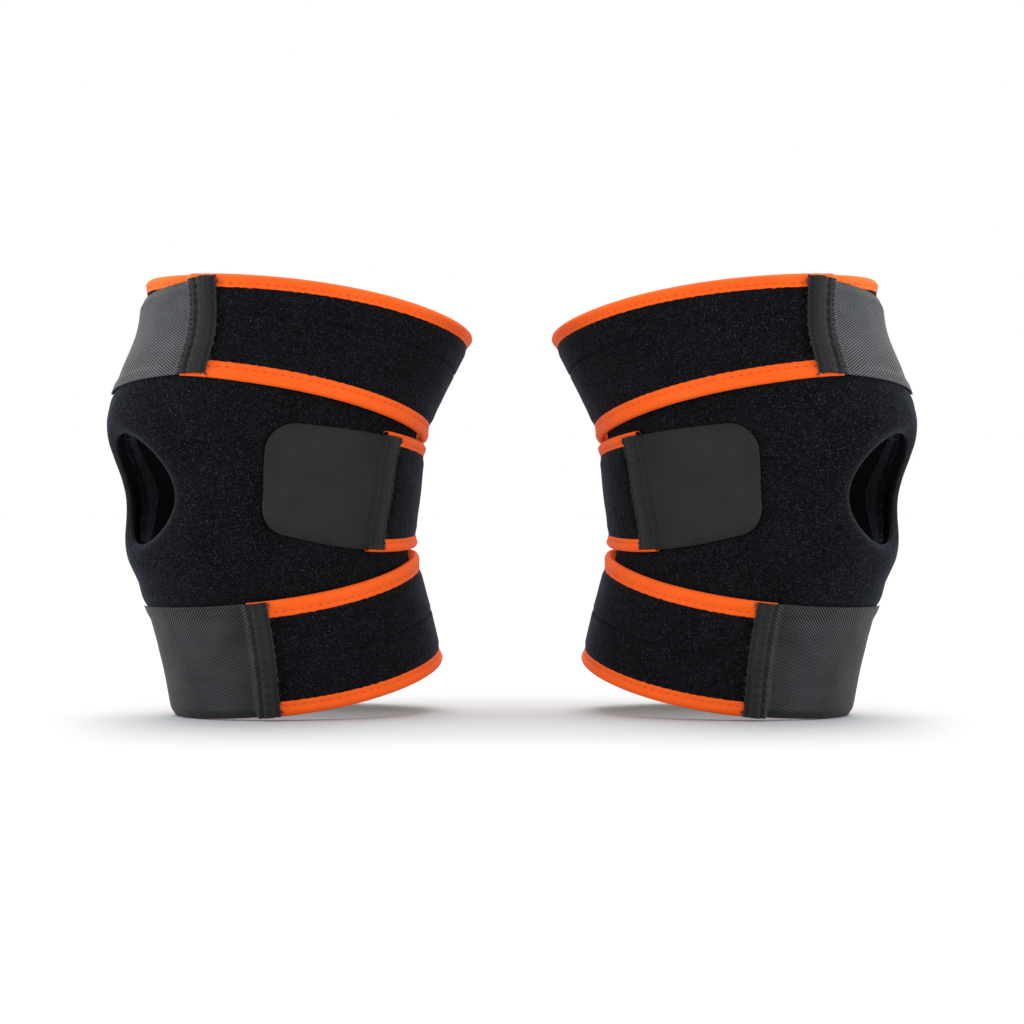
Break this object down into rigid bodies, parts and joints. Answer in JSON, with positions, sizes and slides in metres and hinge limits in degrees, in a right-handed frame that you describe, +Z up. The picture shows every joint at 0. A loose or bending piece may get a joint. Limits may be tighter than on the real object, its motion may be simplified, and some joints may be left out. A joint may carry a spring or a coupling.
{
  "type": "knee pads",
  "caption": "Pair of wrap-around padded knee supports, each an open-backed sleeve with a kneecap opening, orange bound edges and hook tab straps round the leg.",
  "frame": {"origin": "middle of the pair on the floor: midway between the two supports and midway between their front and back reach, at the height of the lowest binding tape", "axes": "+X to the viewer's right across the pair, +Y away from the viewer, +Z up; the supports mirror each other across X = 0 and each is turned 33 degrees so its kneecap opening faces outward and to the viewer"},
  "size_m": [0.4502, 0.1702, 0.2436],
  "materials": {
    "plush_cloth": "brushed loop nap",
    "orange_tape": "woven stretch tape with stitches",
    "black_tape": "woven stretch tape with stitches",
    "twill_tab": "diagonal twill",
    "plain_tab": "smooth laminated cloth",
    "hook_cloth": "moulded hooks",
    "ring_padding": "cloth covered foam rubber",
    "pocket_cloth": "plain weave",
    "spring_steel": "wound flat wire"
  },
  "bodies": {
    "left_calf": {"left_calf_panel": "plush_cloth", "left_bottom_binding": "orange_tape"},
    "left_thigh": {"left_thigh_panel": "plush_cloth", "left_top_binding": "orange_tape"},
    "left_knee": {"left_knee_panel": "plush_cloth", "left_kneecap_ring": "ring_padding", "left_inner_stay_pocket": "pocket_cloth", "left_inner_stays": "spring_steel", "left_outer_stay_pocket": "pocket_cloth", "left_outer_stays": "spring_steel", "left_inner_wing_binding": "black_tape", "left_outer_wing_binding": "black_tape"},
    "left_upper_strap": {"left_upper_strap": "plush_cloth", "left_upper_strap_top_binding": "orange_tape", "left_upper_strap_low_binding": "orange_tape"},
    "left_upper_tab": {"left_upper_tab": "twill_tab", "left_upper_hook_patch": "hook_cloth"},
    "left_middle_strap": {"left_middle_strap": "plush_cloth", "left_middle_strap_top_binding": "orange_tape", "left_middle_strap_low_binding": "orange_tape"},
    "left_middle_tab": {"left_middle_tab": "plain_tab", "left_middle_hook_patch": "hook_cloth"},
    "left_lower_strap": {"left_lower_strap": "plush_cloth", "left_lower_strap_top_binding": "orange_tape", "left_lower_strap_low_binding": "orange_tape"},
    "left_lower_tab": {"left_lower_tab": "twill_tab", "left_lower_hook_patch": "hook_cloth"},
    "right_calf": {"right_calf_panel": "plush_cloth", "right_bottom_binding": "orange_tape"},
    "right_thigh": {"right_thigh_panel": "plush_cloth", "right_top_binding": "orange_tape"},
    "right_knee": {"right_knee_panel": "plush_cloth", "right_kneecap_ring": "ring_padding", "right_inner_stay_pocket": "pocket_cloth", "right_inner_stays": "spring_steel", "right_outer_stay_pocket": "pocket_cloth", "right_outer_stays": "spring_steel", "right_inner_wing_binding": "black_tape", "right_outer_wing_binding": "black_tape"},
    "right_upper_strap": {"right_upper_strap": "plush_cloth", "right_upper_strap_top_binding": "orange_tape", "right_upper_strap_low_binding": "orange_tape"},
    "right_upper_tab": {"right_upper_tab": "twill_tab", "right_upper_hook_patch": "hook_cloth"},
    "right_middle_strap": {"right_middle_strap": "plush_cloth", "right_middle_strap_top_binding": "orange_tape", "right_middle_strap_low_binding": "orange_tape"},
    "right_middle_tab": {"right_middle_tab": "plain_tab", "right_middle_hook_patch": "hook_cloth"},
    "right_lower_strap": {"right_lower_strap": "plush_cloth", "right_lower_strap_top_binding": "orange_tape", "right_lower_strap_low_binding": "orange_tape"},
    "right_lower_tab": {"right_lower_tab": "twill_tab", "right_lower_hook_patch": "hook_cloth"}
  },
  "joints": [
    {"name": "left_knee_straighten", "type": "hinge", "parent": "left_calf", "child": "left_thigh", "pos_m": [-0.1379, -0.00708, 0.12968], "axis": [0.5446, -0.8387, 0], "range_deg": [0, 25], "stiffness_Nm_per_rad": 0.6},
    {"name": "left_knee_half", "type": "hinge", "parent": "left_calf", "child": "left_knee", "pos_m": [-0.1379, -0.00708, 0.12968], "axis": [0.5446, -0.8387, 0], "range_deg": [0, 12.5], "deforming": ["left_knee_panel", "left_inner_stay_pocket", "left_inner_stays", "left_outer_stay_pocket", "left_outer_stays", "left_inner_wing_binding", "left_outer_wing_binding"]},
    {"name": "left_upper_strap_swing", "type": "hinge", "parent": "left_thigh", "child": "left_upper_strap", "pos_m": [-0.0443, 0.05371, 0.19119], "axis": [0.3883, 0.2522, 0.8864], "range_deg": [0, 45]},
    {"name": "left_upper_tab_peel", "type": "hinge", "parent": "left_upper_strap", "child": "left_upper_tab", "pos_m": [-0.17887, -0.07633, 0.21173], "axis": [0.1078, 0.1789, 0.9779], "range_deg": [0, 75], "deforming": ["left_upper_tab"]},
    {"name": "left_middle_strap_swing", "type": "hinge", "parent": "left_knee", "child": "left_middle_strap", "pos_m": [-0.06149, 0.04254, 0.12467], "axis": [0.1097, 0.0713, 0.9914], "range_deg": [0, 60]},
    {"name": "left_middle_tab_peel", "type": "hinge", "parent": "left_middle_strap", "child": "left_middle_tab", "pos_m": [-0.07446, -0.04152, 0.13002], "axis": [0.1675, 0.1308, 0.9772], "range_deg": [0, 50], "deforming": ["left_middle_tab"]},
    {"name": "left_lower_strap_swing", "type": "hinge", "parent": "left_calf", "child": "left_lower_strap", "pos_m": [-0.05436, 0.04718, 0.05458], "axis": [-0.2373, -0.1541, 0.9591], "range_deg": [0, 45]},
    {"name": "left_lower_tab_peel", "type": "hinge", "parent": "left_lower_strap", "child": "left_lower_tab", "pos_m": [-0.14088, -0.06775, 0.02759], "axis": [-0.1042, -0.1616, 0.9813], "range_deg": [0, 75], "deforming": ["left_lower_tab"]},
    {"name": "right_knee_straighten", "type": "hinge", "parent": "right_calf", "child": "right_thigh", "pos_m": [0.1379, -0.00708, 0.12968], "axis": [0.5446, 0.8387, 0], "range_deg": [0, 25], "stiffness_Nm_per_rad": 0.6},
    {"name": "right_knee_half", "type": "hinge", "parent": "right_calf", "child": "right_knee", "pos_m": [0.1379, -0.00708, 0.12968], "axis": [0.5446, 0.8387, 0], "range_deg": [0, 12.5], "deforming": ["right_knee_panel", "right_inner_stay_pocket", "right_inner_stays", "right_outer_stay_pocket", "right_outer_stays", "right_inner_wing_binding", "right_outer_wing_binding"]},
    {"name": "right_upper_strap_swing", "type": "hinge", "parent": "right_thigh", "child": "right_upper_strap", "pos_m": [0.0443, 0.05371, 0.19119], "axis": [0.3883, -0.2522, -0.8864], "range_deg": [0, 45]},
    {"name": "right_upper_tab_peel", "type": "hinge", "parent": "right_upper_strap", "child": "right_upper_tab", "pos_m": [0.17887, -0.07633, 0.21173], "axis": [0.1078, -0.1789, -0.9779], "range_deg": [0, 75], "deforming": ["right_upper_tab"]},
    {"name": "right_middle_strap_swing", "type": "hinge", "parent": "right_knee", "child": "right_middle_strap", "pos_m": [0.06149, 0.04254, 0.12467], "axis": [0.1097, -0.0713, -0.9914], "range_deg": [0, 60]},
    {"name": "right_middle_tab_peel", "type": "hinge", "parent": "right_middle_strap", "child": "right_middle_tab", "pos_m": [0.07446, -0.04152, 0.13002], "axis": [0.1675, -0.1308, -0.9772], "range_deg": [0, 50], "deforming": ["right_middle_tab"]},
    {"name": "right_lower_strap_swing", "type": "hinge", "parent": "right_calf", "child": "right_lower_strap", "pos_m": [0.05436, 0.04718, 0.05458], "axis": [-0.2373, 0.1541, -0.9591], "range_deg": [0, 45]},
    {"name": "right_lower_tab_peel", "type": "hinge", "parent": "right_lower_strap", "child": "right_lower_tab", "pos_m": [0.14088, -0.06775, 0.02759], "axis": [-0.1042, 0.1616, -0.9813], "range_deg": [0, 75], "deforming": ["right_lower_tab"]},
    {"name": "right_lift", "type": "slide", "parent": "left_calf", "child": "right_calf", "axis": [0, 0, 1], "range_m": [0, 0.3]}
  ],
  "couplings": [
    {"joint": "left_knee_half", "follows": "left_knee_straighten", "ratio": 0.5},
    {"joint": "left_upper_strap_swing", "follows": "left_upper_tab_peel", "ratio": 0.6},
    {"joint": "left_middle_strap_swing", "follows": "left_middle_tab_peel", "ratio": 1.2},
    {"joint": "left_lower_strap_swing", "follows": "left_lower_tab_peel", "ratio": 0.6},
    {"joint": "right_knee_half", "follows": "right_knee_straighten", "ratio": 0.5},
    {"joint": "right_upper_strap_swing", "follows": "right_upper_tab_peel", "ratio": 0.6},
    {"joint": "right_middle_strap_swing", "follows": "right_middle_tab_peel", "ratio": 1.2},
    {"joint": "right_lower_strap_swing", "follows": "right_lower_tab_peel", "ratio": 0.6}
  ]
}
